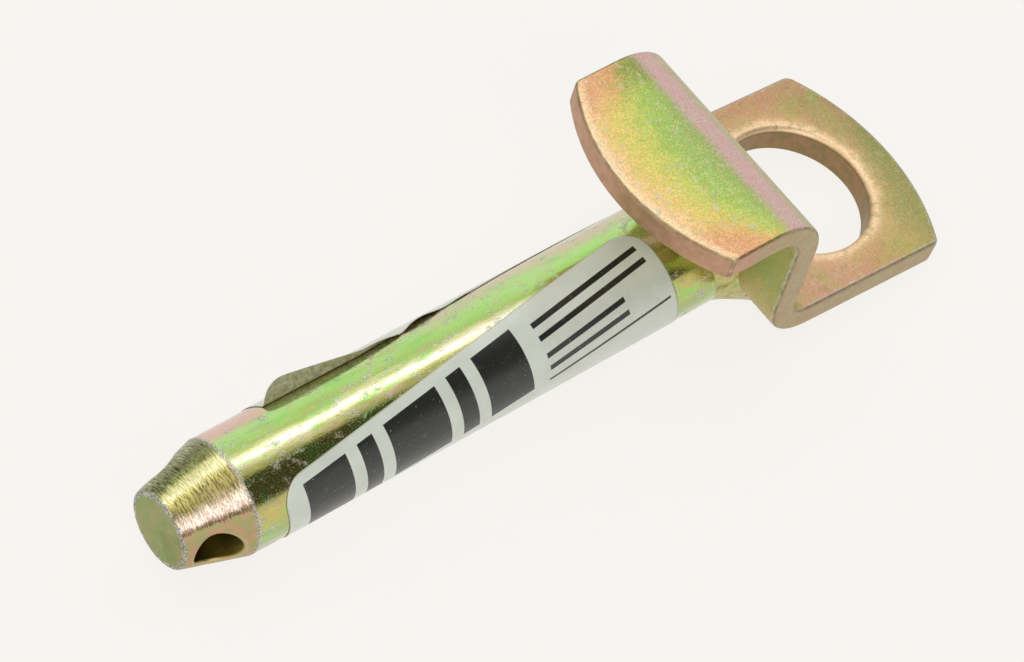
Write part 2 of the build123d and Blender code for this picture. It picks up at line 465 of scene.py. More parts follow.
@dataclass(frozen=True)
class TurnedZinc(Finish):
    """Yellow-passivated zinc on the turned shank. Sizes in millimetres."""

    name: str = "turned_zinc"
    taper_end: float = 7.5
    nose_face: float = -7.2
    nose_radius: float = 7.9
    hole_radius: float = 4.75
    smooth_turns: tuple[float, float] = (133.0, 238.0)  # degrees, the ground round the cross hole
    highlight_turns: tuple[float, float] = (82.0, 123.0)  # degrees, the taper's two painted highlight runs
    shank_roughness: float = 0.13
    taper_roughness: float = 0.3

    def looks(self, s: Shading) -> dict[str, object]:
        """Banded zinc with painted highlights, bare at worn rims, on the taper, the cylinder and the hole in
        painted shade.

        Args:
            s: The material's tree.

        Returns:
            What the surface shader gets.
        """
        spot = Spot.of(s)
        x, y, z, place = spot.x, spot.y, spot.z, spot.place
        turn = s.math("FLOORED_MODULO", s.math("ARCTAN2", z, y) * math.degrees(1.0), 360.0)
        across_hole = (x * x + z * z) ** 0.5
        on_taper = s.ease(x, self.taper_end + 0.1, self.taper_end - 0.1)
        face = s.ease(x, self.nose_face + 0.3, self.nose_face + 0.1)
        hole = s.ease(across_hole, self.hole_radius + 0.12, self.hole_radius + 0.02)
        grain = s.noise(place, 3.4, 3.0, 0.65)
        specks = s.ease(grain, 0.53, 0.66)
        scuffs = self._scuffs(spot) * (1.0 - on_taper)

        taper, strokes, smooth = self._taper_colours(spot, turn)
        clouds = s.ease(s.noise(s.vector(x, y + z * 0.6, z - y * 0.6), 0.22, 5.0, 0.65), 0.4, 0.6)
        face_colour = s.mix(clouds, srgb(150, 164, 106), srgb(170, 166, 114))
        rim = s.ease(abs(across_hole - self.hole_radius - 0.5), 0.5, 0.1) * (1.0 - hole) * (1.0 - face)
        bare = s.most(self._worn_rims(spot) * (1.0 - hole), scuffs)
        colour = s.coats(
            self._shank_colours(spot, turn),
            (on_taper, taper),
            # pale specks: partly the frosted grain, partly painted glints
            (specks * (1.0 - on_taper) * 0.3, srgb(226, 222, 150)),
            (face, s.mix(s.ease(grain, 0.55, 0.7) * 0.25, face_colour, srgb(186, 188, 136))),
            # painted shade: the cross hole's wall is darkened
            (hole, s.mix(grain, srgb(92, 78, 30), srgb(160, 144, 66))),
            (rim * 0.4, srgb(214, 196, 150)),
            (bare, s.mix(s.ease(grain, 0.36, 0.62), srgb(118, 120, 108), srgb(232, 230, 220))),
        )
        rough = self.shank_roughness + on_taper * (self.taper_roughness - self.shank_roughness)
        rough = rough + specks * (1.0 - on_taper) * 0.24 + bare * 0.3 + face * 0.2 + smooth * on_taper * 0.16
        relief = grain * 0.4 - strokes * on_taper * 1.8 + s.noise(s.vector(x * 0.2, y, z), 1.4) * 0.6
        relief = s.bump(relief + bare * (grain - 0.5) * 2.0, 0.55, 0.055 * MM)
        return {"Metallic": 1.0, "Base Color": colour, "Roughness": rough, "Normal": relief}

    @staticmethod
    def _shank_colours(spot: Spot, turn: Field) -> Socket:
        """Colours of the cylinder, in bands along it, with a painted highlight streak near 94°.

        Args:
            spot: The place on the shank.
            turn: Angle round the shank, from the handle's left side.

        Returns:
            The colour.
        """
        s, x, y, z = spot.s, spot.x, spot.y, spot.z
        # passivation colours by turn; the stops from 89° to 99° are a painted highlight streak
        stops = shades(
            (0.0, 206, 190, 160), (34.0, 208, 192, 176), (48.0, 214, 196, 172), (57.0, 202, 212, 162),
            (65.0, 186, 230, 146), (74.0, 176, 226, 126), (83.0, 176, 200, 116), (89.0, 226, 228, 166),
            (94.0, 254, 250, 222), (99.0, 214, 212, 152), (105.0, 168, 170, 98), (134.0, 190, 184, 104),
            (150.0, 204, 190, 118), (160.0, 192, 192, 122), (171.0, 166, 190, 118),
            (182.0, 176, 190, 138), (196.0, 202, 198, 164), (236.0, 204, 186, 132),
            (270.0, 180, 196, 124), (304.0, 208, 188, 140), (336.0, 186, 206, 138),
            (360.0, 206, 190, 160),
        )
        along = s.vector(x * 0.22, y, z)
        drift = (s.noise(along, 0.3, 4.0) - 0.5) * 26.0
        green = s.ease(s.noise(s.vector(x * 0.3, y, z + 30.0), 0.4, 5.0), 0.52, 0.62)
        rosy = s.ease(s.noise(s.vector(x * 0.3 + 40.0, y, z), 0.5, 5.0), 0.56, 0.66)
        gold = s.ease(s.noise(s.vector(x * 0.5, y + 20.0, z), 0.8, 5.0), 0.58, 0.68)
        blush = s.ease(turn, 64.0, 54.0) * s.ease(turn, 18.0, 32.0) * s.ease(x + drift * 0.1, 24.0, 19.0)
        return s.coats(
            s.ramp(turn + drift, stops, 0.0, 360.0),
            (green * 0.6, srgb(150, 220, 112)),
            (rosy * 0.42, srgb(222, 180, 160)),
            (gold * 0.4, srgb(222, 214, 128)),
            (blush * 0.8, srgb(228, 186, 178)),
        )

    def _taper_colours(self, spot: Spot, turn: Field) -> tuple[Socket, Field, Field]:
        """Colours and chatter marks of the taper, with painted highlight runs and painted glints.

        Args:
            spot: The place on the shank.
            turn: Angle round the shank, from the handle's left side.

        Returns:
            The colour, the chatter marks and the plain ground round the cross hole.
        """
        # the stops at 77–84° and 116–126° are painted highlight runs
        stops = shades(
            (0.0, 196, 184, 140), (30.0, 176, 180, 140), (58.0, 170, 176, 122), (70.0, 164, 172, 94),
            (77.0, 240, 238, 164), (84.0, 252, 246, 190), (92.0, 216, 204, 122), (108.0, 192, 174, 106),
            (116.0, 242, 218, 190), (126.0, 252, 228, 214), (134.0, 206, 166, 136),
            (146.0, 190, 172, 128), (180.0, 176, 170, 116), (214.0, 196, 180, 130),
            (270.0, 170, 180, 116), (320.0, 204, 178, 134), (360.0, 196, 184, 140),
        )
        s, x, y, z = spot.s, spot.x, spot.y, spot.z
        cloud = s.noise(spot.place, 0.5, 4.0)
        coarse = s.noise(s.vector(x * 3.8, y * 0.4, z * 0.4), 1.0, 3.0, 0.6)
        fine = s.noise(s.vector(x * 7.0 + 9.0, y * 0.8, z * 0.8), 1.0, 3.0, 0.6)
        edge = turn + (cloud - 0.5) * 10.0 + (fine - 0.5) * 12.0
        first, last = self.smooth_turns
        smooth = s.ease(edge, first, first + 6.0) * s.ease(edge, last, last - 12.0)
        upper, lower = self.highlight_turns
        painted_highlight = s.ease(abs(turn - upper), 14.0, 5.0) + s.ease(abs(turn - lower), 13.0, 6.0)
        strokes = s.most(s.ease(coarse, 0.49, 0.44), s.ease(fine, 0.46, 0.4) * 0.8) * (1.0 - smooth)
        strokes = strokes * (1.0 - painted_highlight * 0.45)
        clouds = s.ease(cloud + (fine - 0.5) * 0.3, 0.34, 0.66)
        border = s.ease(abs(edge - (first + 0.5)), 4.5, 1.5)
        painted_glint = s.ease(fine, 0.55, 0.64) * (1.0 - smooth) * (0.35 + painted_highlight * 0.65)
        colour = s.coats(
            s.ramp(turn + (cloud - 0.5) * 14.0, stops, 0.0, 360.0),
            (smooth * 0.85, s.mix(clouds, srgb(206, 158, 132), srgb(166, 172, 114))),
            (strokes * 0.72, srgb(70, 70, 40)),
            (border * 0.6, srgb(92, 76, 50)),
            # painted glints, strongest in the painted highlight runs
            (painted_glint * 0.75, srgb(255, 248, 226)),
        )
        return colour, strokes, smooth

    def _worn_rims(self, spot: Spot) -> Field:
        """Bare metal on the burr round the nose face and on the taper's crease.

        Args:
            spot: The place on the shank.

        Returns:
            How bare the metal is.
        """
        s, x, y, z = spot.s, spot.x, spot.y, spot.z
        patchy = s.noise(spot.place, 1.1, 5.0, 0.7)
        from_rim = s.most(x - self.nose_face, self.nose_radius - (y * y + z * z) ** 0.5)
        burr = s.ease(from_rim + (patchy - 0.5) * 2.6, 0.62, 0.16)
        crease = s.ease(abs(x - self.taper_end) + (patchy - 0.5) * 3.0, 0.75, 0.1)
        return s.most(burr * 0.9, crease * 0.75)

    @staticmethod
    def _scuffs(spot: Spot) -> Field:
        """Pale scuffs scattered over the cylinder.

        Args:
            spot: The place on the shank.

        Returns:
            How strong the scuff is.
        """
        s, x, y, z = spot.s, spot.x, spot.y, spot.z
        where = s.ease(s.noise(s.vector(x * 0.6, y, z), 0.16, 2.0), 0.37, 0.52)
        flakes = s.ease(s.noise(s.vector(x * 0.6, y, z), 0.62, 4.0, 0.62), 0.56, 0.6)
        lines = s.ease(s.noise(s.vector(x * 0.8, y * 1.3, z * 1.3), 1.1, 6.0, 0.75), 0.575, 0.62)
        chalk = s.ease(s.noise(s.vector(x * 0.7, y + 9.0, z), 0.34, 6.0, 0.72), 0.53, 0.66)
        return where * s.most(s.most(flakes * 0.62, lines * 0.5), chalk * 0.42)


@dataclass(frozen=True)
class PlateZinc(Finish):
    """Yellow-passivated zinc on the folded plate, satin, with painted sparkle. Sizes in millimetres."""

    name: str = "plate_zinc"
    lip_arc_centre: float = 144.2
    lip_arc_radius: float = 45.0
    bend_start: float = 118.2
    ring_centre: tuple[float, float] = (159.89, -6.56)
    ring_radius: float = 16.5
    tab_slope: float = 5.4  # degrees
    tab_arc_centre: float = -22.9
    tab_arc_radius: float = 49.8
    half_width: float = 25.65
    lip_heights: tuple[float, float] = (29.5, 32.0)  # over these the web turns into the lip
    tab_heights: tuple[float, float] = (0.5, -2.0)  # and under these into the tab
    roughness: float = 0.46

    def looks(self, s: Shading) -> dict[str, object]:
        """Zinc by region, with flecks, scuffs and darker sheared edges.

        Args:
            s: The material's tree.

        Returns:
            What the surface shader gets.
        """
        spot = Spot.of(s)
        x, y, z, place = spot.x, spot.y, spot.z, spot.place
        slow = s.noise(place, 0.12, 3.0)
        middle = s.noise(place, 0.4, 4.0, 0.55)
        fine = s.noise(place, 1.7, 4.0, 0.75)
        drift = (slow - 0.5) * 7.0 + (middle - 0.5) * 5.0 + (fine - 0.5) * 6.5

        slope = math.radians(self.tab_slope)
        out = (x - self.ring_centre[0]) * math.cos(slope) - (z - self.ring_centre[1]) * math.sin(slope)
        along = x - self.lip_arc_centre
        lip_margin = self.lip_arc_radius - (along * along + y * y) ** 0.5
        beyond = out - self.tab_arc_centre
        tab_margin = self.tab_arc_radius - (beyond * beyond + y * y) ** 0.5
        on_lip = s.ease(z, *self.lip_heights)
        on_tab = s.ease(z, *self.tab_heights)

        olive = s.ease(s.noise(place, 0.4, 5.0, 0.6), 0.47, 0.36) * (1.0 - on_lip)
        wear_and_highlight_noise = s.noise(place, 0.7, 5.0, 0.7)
        # painted highlight along the lip's arched edge, broken up by noise
        arch_highlight = s.ease(lip_margin + (wear_and_highlight_noise - 0.5) * 3.4, 2.6, 1.0) * on_lip
        tint = s.noise(s.vector(x + 50.0, y, z), 1.2, 4.0, 0.7)
        glint_and_speck_noise = s.noise(place, 3.2, 2.0, 0.7)
        coarse = 0.6 + on_lip * 0.4
        scuffs = self._scuffs(spot) * (0.35 + on_lip * 0.65)

        sides = s.ease(abs(y), self.half_width - 0.3, self.half_width - 0.12)
        ends = s.most(s.ease(lip_margin, 0.3, 0.12) * on_lip, s.ease(tab_margin, 0.3, 0.12) * on_tab)
        edge = s.most(sides, ends)
        wall = s.ease((out * out + y * y) ** 0.5 - self.ring_radius, 0.25, 0.05) * on_tab
        margin = s.least(lip_margin + (1.0 - on_lip) * FAR, tab_margin + (1.0 - on_tab) * FAR)
        margin = s.least(margin, self.half_width - abs(y))
        grey = s.ease(margin + (wear_and_highlight_noise - 0.5) * 3.0, 1.2, 0.4) * (1.0 - on_lip)
        # painted dark reflection line just inside every edge, weaker on the tab
        edge_reflection = s.ease(abs(margin - 0.3 + (middle - 0.5) * 0.3), 0.26, 0.1)
        edge_reflection_colour = s.mix(s.ease(middle, 0.46, 0.6), srgb(78, 72, 46), srgb(150, 142, 108))
        colour = s.coats(
            self._web_colours(spot, drift),
            (on_tab, self._tab_colours(spot, out, drift)),
            (on_lip, self._lip_colours(spot, lip_margin, drift)),
            (olive * 0.4, srgb(146, 142, 84)),
            (arch_highlight * 0.62, srgb(252, 230, 188)),
            (s.ease(tint, 0.52, 0.64) * coarse * 0.38, srgb(228, 152, 122)),
            (s.ease(tint, 0.47, 0.34) * coarse * 0.34, srgb(160, 188, 88)),
            # painted sparkle: pale glints and dark specks in a fine grain
            (s.ease(glint_and_speck_noise, 0.53, 0.72) * coarse * 0.5, srgb(255, 242, 190)),
            (s.ease(glint_and_speck_noise, 0.47, 0.28) * coarse * 0.5, srgb(116, 106, 58)),
            (scuffs, srgb(206, 206, 178)),
            (edge, self._edge_colours(spot, middle, fine)),
            (wall, s.mix(s.ease(middle, 0.4, 0.6), srgb(142, 122, 84), srgb(162, 130, 96))),
            (grey * (1.0 - edge) * 0.55, srgb(202, 194, 184)),
            (edge_reflection * (0.55 - on_tab * 0.38), edge_reflection_colour),
        )
        rough = self.roughness + (middle - 0.5) * 0.2 + scuffs * 0.15
        grain = s.noise(place, 2.6, 3.0, 0.6) * 0.9 + s.noise(place, 0.8, 2.0) * 0.6
        relief = s.bump(grain, 0.6, 0.08 * MM)
        return {"Metallic": 1.0, "Base Color": colour, "Roughness": rough, "Normal": relief}

    def _lip_colours(self, spot: Spot, margin: Field, drift: Field) -> Socket:
        """From a painted peach highlight at the arched edge over gold and green to rose on the bend.

        Args:
            spot: The place on the handle.
            margin: Distance in from the arched edge.
            drift: Cloudy shift of the bands.

        Returns:
            The colour.
        """
        # the first stops, peach at the arched edge, are a painted highlight
        stops = shades(
            (0.0, 232, 194, 160), (2.6, 240, 204, 156), (5.0, 226, 200, 124), (8.0, 214, 204, 112),
            (11.0, 190, 202, 104), (14.0, 162, 194, 100), (20.0, 154, 184, 108), (30.0, 164, 184, 116),
        )
        s = spot.s
        ends = s.ease(abs(spot.y) + drift * 0.8, 13.0, 22.0) * s.ease(margin + drift, 12.0, 6.0)
        left = s.ease(spot.y + drift, 15.0, 23.0) * s.ease(margin + drift * 0.5, 5.0, 11.0)
        to_bend = spot.x - self.bend_start
        bend = s.mix(s.ease(to_bend, 8.0, 11.0), srgb(216, 181, 184), srgb(188, 184, 146))
        return s.coats(
            s.ramp(margin + drift, stops, 0.0, 30.0),
            (ends * 0.8, srgb(218, 156, 120)),
            (left * 0.75, srgb(122, 140, 72)),
            (s.ease(to_bend + drift * 0.35, 2.0, 5.5), bend),
        )

    def _tab_colours(self, spot: Spot, out: Field, drift: Field) -> Socket:
        """Rose near the fold, gold and olive further out, a painted peach highlight round the ring hole.

        Args:
            spot: The place on the handle.
            out: Distance from the ring hole's centre along the tab.
            drift: Cloudy shift of the bands.

        Returns:
            The colour.
        """
        stops = shades(
            (-24.0, 178, 150, 112), (-12.0, 206, 156, 140), (-4.0, 204, 160, 132), (3.0, 192, 168, 112),
            (12.0, 188, 170, 110), (19.0, 166, 160, 102), (27.0, 140, 146, 92),
        )
        s, y = spot.s, spot.y
        patches = s.noise(s.vector(out, y, 5.0), 0.14, 5.0, 0.62)
        blush = s.ease(patches, 0.5, 0.64) * s.ease(out, 20.0, 8.0)
        from_ring = (out * out + y * y) ** 0.5 - self.ring_radius
        return s.coats(
            s.ramp(out + drift * 1.3, stops, -24.0, 27.0),
            (s.ease(drift, 1.0, 3.0) * 0.4, srgb(158, 170, 98)),
            (s.ease(drift - y * 0.1, -0.6, -2.6) * 0.6, srgb(196, 144, 124)),
            (blush * 0.5, srgb(200, 144, 126)),
            (s.ease(patches, 0.48, 0.36) * 0.5, srgb(168, 172, 98)),
            # painted highlight round the ring hole's rolled edge: a pale zone, brightest at the rim
            (s.ease(from_ring + drift * 0.5, 7.0, 2.0) * 0.55, srgb(214, 180, 134)),
            (s.ease(from_ring + drift * 0.35, 3.4, 1.2) * 0.85, srgb(252, 220, 182)),
        )

    @staticmethod
    def _web_colours(spot: Spot, drift: Field) -> Socket:
        """Olive and green on the upright web.

        Args:
            spot: The place on the handle.
            drift: Cloudy shift of the bands.

        Returns:
            The colour.
        """
        stops = shades(
            (-6.0, 196, 168, 124), (6.0, 186, 174, 108), (14.0, 160, 172, 96), (24.0, 176, 176, 100),
            (33.0, 198, 172, 128),
        )
        return spot.s.ramp(spot.z + drift * 1.2, stops, -6.0, 33.0)

    @staticmethod
    def _edge_colours(spot: Spot, middle: Field, fine: Field) -> Socket:
        """Salmon, beige and khaki on the sheared edges.

        Args:
            spot: The place on the handle.
            middle: Clouds a few millimetres wide.
            fine: Clouds under a millimetre wide.

        Returns:
            The colour.
        """
        s = spot.s
        salmon = s.mix(s.ease(middle, 0.3, 0.7), srgb(184, 148, 116), srgb(208, 164, 136))
        khaki = s.mix(s.ease(fine, 0.3, 0.7), srgb(170, 160, 118), srgb(188, 172, 136))
        on_arch = s.ease(spot.x + (middle - 0.5) * 10.0, 119.0, 110.0) * s.ease(spot.z, 25.0, 30.0)
        return s.coats(khaki, (s.ease(middle, 0.42, 0.66) * 0.55, srgb(192, 148, 124)), (on_arch, salmon))

    @staticmethod
    def _scuffs(spot: Spot) -> Field:
        """Pale rubbed marks in a few places.

        Args:
            spot: The place on the handle.

        Returns:
            How strong the mark is.
        """
        s = spot.s
        where = s.ease(s.noise(spot.place, 0.08, 2.0), 0.4, 0.54)
        marks = s.ease(s.noise(s.vector(spot.x, spot.y * 0.7, spot.z), 0.6, 6.0, 0.76), 0.55, 0.62)
        return where * marks * 0.8


@dataclass(frozen=True)
class WeldZinc(Finish):
    """Zinc over the weld run."""

    name: str = "weld_zinc"
    roughness: float = 0.36

    def looks(self, s: Shading) -> dict[str, object]:
        """Rippled zinc in clouds.

        Args:
            s: The material's tree.

        Returns:
            What the surface shader gets.
        """
        spot = Spot.of(s)
        clouds = s.noise(spot.place, 0.3, 4.0)
        stops = shades(
            (0.3, 132, 134, 66), (0.45, 176, 172, 100), (0.55, 204, 190, 132), (0.7, 160, 182, 106),
        )
        flecks = s.ease(s.noise(spot.place, 1.6, 4.0), 0.56, 0.66)
        colour = s.mix(flecks * 0.35, s.ramp(clouds, stops), srgb(214, 206, 172))
        ripples = s.sin(s.math("ARCTAN2", spot.z, spot.y) * 34.0 + clouds * 9.0)
        relief = s.bump(ripples * 0.5 + s.noise(spot.place, 0.9, 3.0), 0.5, 0.16 * MM)
        return {"Metallic": 1.0, "Base Color": colour, "Roughness": self.roughness, "Normal": relief}


class FilmSide(Enum):
    """The faces of the label, each with its place in the list of materials."""

    PRINTED = 0
    GLUED = 1
    CUT = 2


@dataclass(frozen=True)
class Bar:
    """One black field of the label's print, in millimetres along and across it."""

    left: float
    right: float
    low: float = 2.4
    high: float = 17.6
    soft: float = 0.06

    def mask(self, s: Shading, along: Field, across: Field) -> Field:
        """1 inside the bar.

        Args:
            s: The material's tree.
            along: Place along the label.
            across: Place across it.

        Returns:
            The mask, with slightly soft edges.
        """
        inside = s.ease(along, self.left - self.soft, self.left + self.soft)
        inside = inside * s.ease(along, self.right + self.soft, self.right - self.soft)
        inside = inside * s.ease(across, self.low - self.soft, self.low + self.soft)
        return inside * s.ease(across, self.high + self.soft, self.high - self.soft)


@dataclass(frozen=True)
class LabelInk(Finish):
    """White coated paper with plain black bars and rules."""

    name: str = "label_print"
    length: float = 99.0
    height: float = 67.5
    varnish: float = 0.5
    varnish_roughness: float = 0.26
    bars: tuple[Bar, ...] = (
        Bar(5.0, 16.0), Bar(19.0, 23.0), Bar(26.0, 40.0), Bar(43.0, 47.0), Bar(50.0, 61.0),
        Bar(65.5, 96.0, 4.2, 5.4), Bar(65.5, 96.0, 7.2, 8.4),
        Bar(65.5, 87.0, 11.2, 12.4), Bar(65.5, 87.0, 14.2, 15.4),
        Bar(65.0, 97.5, 17.5, 18.1),
    )

    def looks(self, s: Shading) -> dict[str, object]:
        """Varnished paper with worn print, grime and soft creases.

        Args:
            s: The material's tree.

        Returns:
            What the surface shader gets.
        """
        along, across, _ = s.axes(s.node("ShaderNodeUVMap", {"uv_map": "film"}).outputs[0])
        along, across = along * FILM_UNIT, across * FILM_UNIT
        place = s.vector(along, across)
        ink = reduce(s.most, (bar.mask(s, along, across) for bar in self.bars))
        rubbed = s.ease(s.noise(s.vector(along * 0.7, across * 1.3), 0.5, 6.0, 0.7), 0.56, 0.68)
        specks = s.ease(s.noise(place, 2.2, 2.0), 0.7, 0.74)
        ink = ink * (1.0 - specks * 0.7)
        tone = s.noise(place, 0.12, 4.0)
        grime = s.ease(s.noise(place, 0.7, 6.0, 0.72), 0.6, 0.72)
        dots = s.ease(s.noise(place, 1.5, 1.0), 0.76, 0.79)
        margin = s.least(s.least(along, self.length - along), s.least(across, self.height - across))
        colour = s.coats(
            s.mix(s.ease(tone, 0.35, 0.65), srgb(236, 241, 230), srgb(226, 231, 219)),
            (grime * 0.35, srgb(180, 184, 172)),
            (dots * 0.6, srgb(110, 112, 100)),
            (ink, s.mix(rubbed * 0.5, srgb(25, 27, 24), srgb(86, 90, 84))),
            (s.ease(margin, 0.35, 0.1) * 0.5, srgb(176, 168, 130)),
        )
        creases = s.noise(s.vector(along * 0.25, across), 0.35, 3.0) * 0.8 + s.noise(place, 1.8, 2.0) * 0.1
        return {
            "Base Color": colour,
            "Roughness": 0.34 + ink * 0.06 + grime * 0.15,
            "Coat Weight": self.varnish,
            "Coat Roughness": self.varnish_roughness,
            "Normal": s.bump(creases, 0.35, 0.12 * MM),
        }


@dataclass(frozen=True)
class LabelGlue(Finish):
    """The label's glued side, khaki with plating dirt."""

    name: str = "label_glue"
    roughness: float = 0.55

    def looks(self, s: Shading) -> dict[str, object]:
        """Cloudy khaki with dark flecks.

        Args:
            s: The material's tree.

        Returns:
            What the surface shader gets.
        """
        along, across, _ = s.axes(s.node("ShaderNodeUVMap", {"uv_map": "film"}).outputs[0])
        place = s.vector(along * FILM_UNIT, across * FILM_UNIT)
        clouds = s.noise(place, 0.8, 5.0, 0.7)
        colour = s.ramp(clouds, shades((0.3, 122, 112, 74), (0.48, 166, 162, 124), (0.68, 196, 194, 160)))
        flecks = s.ease(s.noise(place, 2.4, 3.0), 0.6, 0.68)
        colour = s.mix(flecks * 0.5, colour, srgb(104, 88, 58))
        relief = s.bump(clouds, 0.4, 0.08 * MM)
        return {"Base Color": colour, "Roughness": self.roughness, "Normal": relief}


@dataclass(frozen=True)
class LabelCut(Finish):
    """The label's cut edge."""

    name: str = "label_cut"
    colour: Colour = srgb(198, 198, 180)
    roughness: float = 0.6

    def looks(self, s: Shading) -> dict[str, object]:
        """One plain colour."""
        return {"Base Color": self.colour, "Roughness": self.roughness}


@dataclass
class MetalPiece:
    """A metal piece that keeps the shape of its CAD node, with clean shading."""

    name: str
    node: str
    slot: str
    finish: Finish
    merge_distance: float = 0.002 * MM
    sharp_angle: float = 28.0

    def build(self, nodes: dict[str, bpy.types.Object]) -> bpy.types.Object:
        """Copies the node's surface, joins its triangles and smooths what is round.

        Args:
            nodes: The frame's CAD nodes.

        Returns:
            The dressed piece.
        """
        mesh = nodes[self.node].data.copy()
        mesh.name = self.name
        work = bmesh.new()
        work.from_mesh(mesh)
        bmesh.ops.remove_doubles(work, verts=work.verts, dist=self.merge_distance)
        for face in work.faces:
            face.smooth = True
            face.material_index = 0
        for edge in work.edges:
            edge.smooth = len(edge.link_faces) == 2 and self.is_round(edge)
        work.to_mesh(mesh)
        work.free()
        mesh.materials.clear()
        mesh.materials.append(self.finish.material())
        piece = bpy.data.objects.new(self.name, mesh)
        show(piece)
        shading = piece.modifiers.new("shading", "WEIGHTED_NORMAL")
        shading.keep_sharp = True
        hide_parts(self.node)
        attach(piece, "root")
        return piece

    def is_round(self, edge: bmesh.types.BMEdge) -> bool:
        """Whether the surface runs smoothly over an edge."""
        return edge.calc_face_angle(math.pi) < math.radians(self.sharp_angle)


@dataclass
class ShankPiece(MetalPiece):
    """The turned shank, whose taper meets the cylinder at a crease."""

    crease_x: float = 7.5 * MM

    def is_round(self, edge: bmesh.types.BMEdge) -> bool:
        """As for any piece, but never round over the taper's crease."""
        on_crease = all(abs(vert.co.x - self.crease_x) < 0.004 * MM for vert in edge.verts)
        return not on_crease and super().is_round(edge)


@dataclass
class LabelFilm:
    """The label: a film that follows the shank and comes loose along one edge. Sizes in millimetres."""

    length: float = 99.0
    height: float = 67.5
    thickness: float = 0.145
    corner: float = 6.0
    skew: float = 7.75  # degrees
    corner_x: float = 13.5
    shank_radius: float = 12.73
    start_angle: float = 130.8  # degrees
    crease_angle: float = 408.0  # degrees
    crease_length: float = 1.4
    crease_bend: float = 98.0  # degrees
    crease_run: float = 33.0
    ripple_angle: float = 391.0  # degrees
    ripple_pitch: float = 14.0
    ripple_bend: float = 7.0  # degrees
    loose_run: float = 55.0
    fade: float = 8.0
    least_turn: float = 0.0001  # radians, keeps a straight run from a division by zero
    columns: int = 231
    rows: int = 137
    edge_rows: tuple[float, float] = (16.0, 76.0)
    inputs: tuple[str, str, str] = ("Length", "Height", "Corner")
    finishes: tuple[Finish, ...] = (LabelInk(), LabelGlue(), LabelCut())  # in the order of FilmSide

    def build(self) -> bpy.types.Object:
        """Makes the film from its node tree and dresses it.

        Returns:
            The dressed piece.
        """
        materials = [finish.material() for finish in self.finishes]
        tree = self._tree(materials[FilmSide.PRINTED.value])
        carrier = bpy.data.objects.new("label_carrier", bpy.data.meshes.new("label_carrier"))
        show(carrier)
        modifier = carrier.modifiers.new("film", "NODES")
        modifier.node_group = tree
        sizes = dict(zip(self.inputs, (self.length * MM, self.height * MM, self.corner * MM)))
        for socket in tree.interface.items_tree:
            if socket.item_type == "SOCKET" and socket.name in sizes:
                modifier[socket.identifier] = sizes[socket.name]
        bpy.context.view_layer.update()
        depsgraph = bpy.context.evaluated_depsgraph_get()
        evaluated = carrier.evaluated_get(depsgraph)
        mesh = bpy.data.meshes.new_from_object(evaluated, preserve_all_data_layers=True, depsgraph=depsgraph)
        bpy.data.objects.remove(carrier)
        mesh.name = "label_wrap_film"
        mesh.materials.clear()
        for material in materials:
            mesh.materials.append(material)
        for polygon in mesh.polygons:
            polygon.use_smooth = True
        piece = bpy.data.objects.new("label_film", mesh)
        show(piece)
        wall = piece.modifiers.new("wall", "SOLIDIFY")
        wall.thickness = self.thickness * MM
        wall.offset = 1.0
        wall.use_even_offset = True
        wall.material_offset = FilmSide.GLUED.value
        wall.material_offset_rim = FilmSide.CUT.value
        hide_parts("label_wrap")
        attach(piece, "root")
        return piece

    def _tree(self, paint: Material) -> bpy.types.NodeTree:
        """Makes the geometry tree that lays a grid round the shank.

        Args:
            paint: The material of the printed side.

        Returns:
            The tree, with the film's sizes as its inputs.
        """
        tree = bpy.data.node_groups.new("label_film", "GeometryNodeTree")
        tree.interface.new_socket("Geometry", in_out="OUTPUT", socket_type="NodeSocketGeometry")
        for name in self.inputs:
            tree.interface.new_socket(name, in_out="INPUT", socket_type="NodeSocketFloat")
        g = Graph(tree)
        given = g.node("NodeGroupInput")
        length, height, corner = (Field(g, given.outputs[name]) / MM for name in self.inputs)
        inputs = {"Size X": 1.0, "Size Y": 1.0, "Vertices X": self.columns, "Vertices Y": self.rows}
        grid = g.node("GeometryNodeMeshGrid", inputs=inputs)
        part_x, part_y, _ = g.axes(g.node("GeometryNodeInputPosition").outputs[0])
        along, across = self._spread(g, part_x + 0.5, part_y + 0.5, length, height, corner)
        place = self._lay(g, along, across, height)
        on_film = g.vector(along / FILM_UNIT, across / FILM_UNIT)
        stored = g.node(
            "GeometryNodeStoreNamedAttribute",
            {"data_type": "FLOAT2", "domain": "CORNER"},
            {"Geometry": grid.outputs[0], "Name": "film", "Value": on_film},
        )
        moved = g.node("GeometryNodeSetPosition", inputs={"Geometry": stored.outputs[0], "Position": place})
        outward = g.node("GeometryNodeFlipFaces", inputs={"Mesh": moved.outputs[0]})
        real = g.node("GeometryNodeRealizeInstances", inputs={"Geometry": outward.outputs[0]})
        inputs = {"Geometry": real.outputs[0], "Material": paint}
        dressed = g.node("GeometryNodeSetMaterial", inputs=inputs)
        g.node("NodeGroupOutput", inputs={0: dressed.outputs[0]})
        return tree

    def _spread(
        self, g: Graph, part_x: Field, part_y: Field, length: Field, height: Field, corner: Field
    ) -> tuple[Field, Field]:
        """Spreads the grid over a rectangle with round corners.

        Args:
            g: The tree.
            part_x: Place along the grid, 0 to 1.
            part_y: Place across it, 0 to 1.
            length: The label's length.
            height: The label's height.
            corner: The radius of its corners.

        Returns:
            The place along and across the label.
        """
        first, last = (rows / (self.rows - 1.0) for rows in self.edge_rows)
        low = g.part(part_y / first) * (math.pi / 2)
        high = g.part((1.0 - part_y) / (1.0 - last)) * (math.pi / 2)
        between = g.part((part_y - first) / (last - first))
        across = corner * (1.0 - g.cos(low)) + (height - corner * 2.0) * between + corner * g.cos(high)
        inset = corner * (2.0 - g.sin(low) - g.sin(high))
        along = inset + part_x * (length - inset * 2.0)
        return along, across

